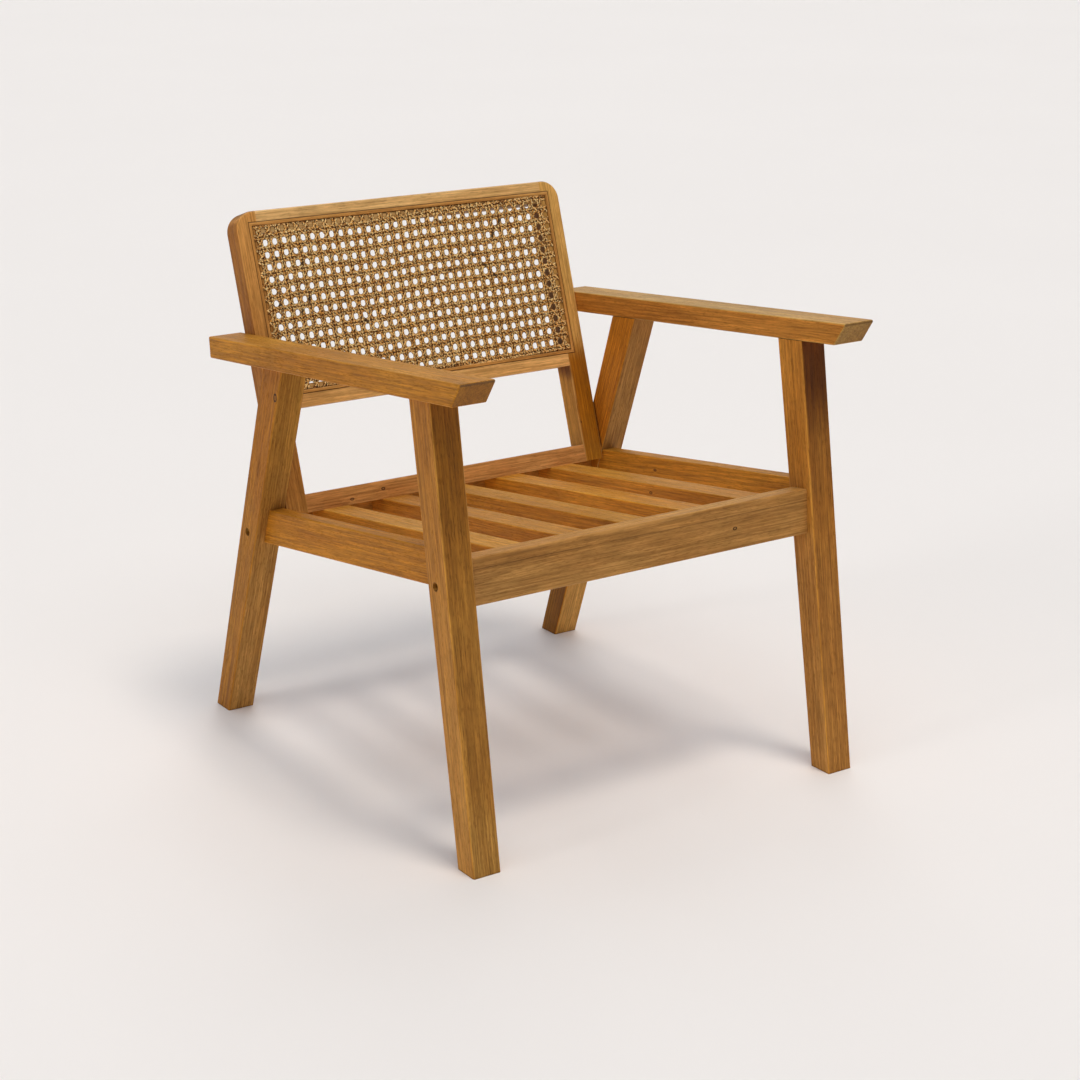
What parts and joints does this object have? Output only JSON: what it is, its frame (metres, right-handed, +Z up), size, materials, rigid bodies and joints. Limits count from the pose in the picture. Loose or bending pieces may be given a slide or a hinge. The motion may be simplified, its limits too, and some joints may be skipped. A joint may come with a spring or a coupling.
{
  "type": "cane-back lounge armchair",
  "caption": "Low hardwood lounge armchair with raked tapered legs, flat armrests, a slatted seat that falls to the rear and a reclined back frame with a woven cane panel.",
  "frame": {"origin": "on the floor, under the middle of the chair's width and depth", "axes": "+X to the right for someone who looks at the front of the chair, +Y towards the back of the chair, +Z up; the sitter faces -Y"},
  "size_m": [0.664, 0.7244, 0.7506],
  "materials": {
    "leg_wood": "oiled satin hardwood, straight grain along the leg",
    "arm_wood": "oiled satin hardwood, grain along the armrest",
    "rail_wood": "oiled satin hardwood, grain along the rail",
    "slat_wood": "oiled satin hardwood, grain along the slat",
    "back_wood": "oiled satin hardwood, grain along each member",
    "dowel_wood": "plain beech dowel",
    "spline": "reed spline, satin",
    "cane": "natural woven cane webbing, satin",
    "steel": "dull zinc-plated steel"
  },
  "bodies": {
    "root": {"arm_dowels": "dowel_wood", "back_bottom_rail": "back_wood", "back_middle_rail": "back_wood", "back_top_rail": "back_wood", "barrel_nuts": "steel", "bolt_washers": "steel", "cane_panel": "cane", "cane_spline_bottom": "spline", "cane_spline_left": "spline", "cane_spline_right": "spline", "cane_spline_top": "spline", "frame_bolts": "steel", "front_seat_rail": "rail_wood", "left_armrest": "arm_wood", "left_back_stile": "back_wood", "left_front_leg": "leg_wood", "left_rear_leg": "leg_wood", "left_side_rail": "rail_wood", "rail_dowels": "dowel_wood", "rear_seat_rail": "rail_wood", "right_armrest": "arm_wood", "right_back_stile": "back_wood", "right_front_leg": "leg_wood", "right_rear_leg": "leg_wood", "right_side_rail": "rail_wood", "seat_slat_1": "slat_wood", "seat_slat_2": "slat_wood", "seat_slat_3": "slat_wood", "seat_slat_4": "slat_wood", "seat_slat_5": "slat_wood", "stile_dowels": "dowel_wood"}
  },
  "joints": []
}
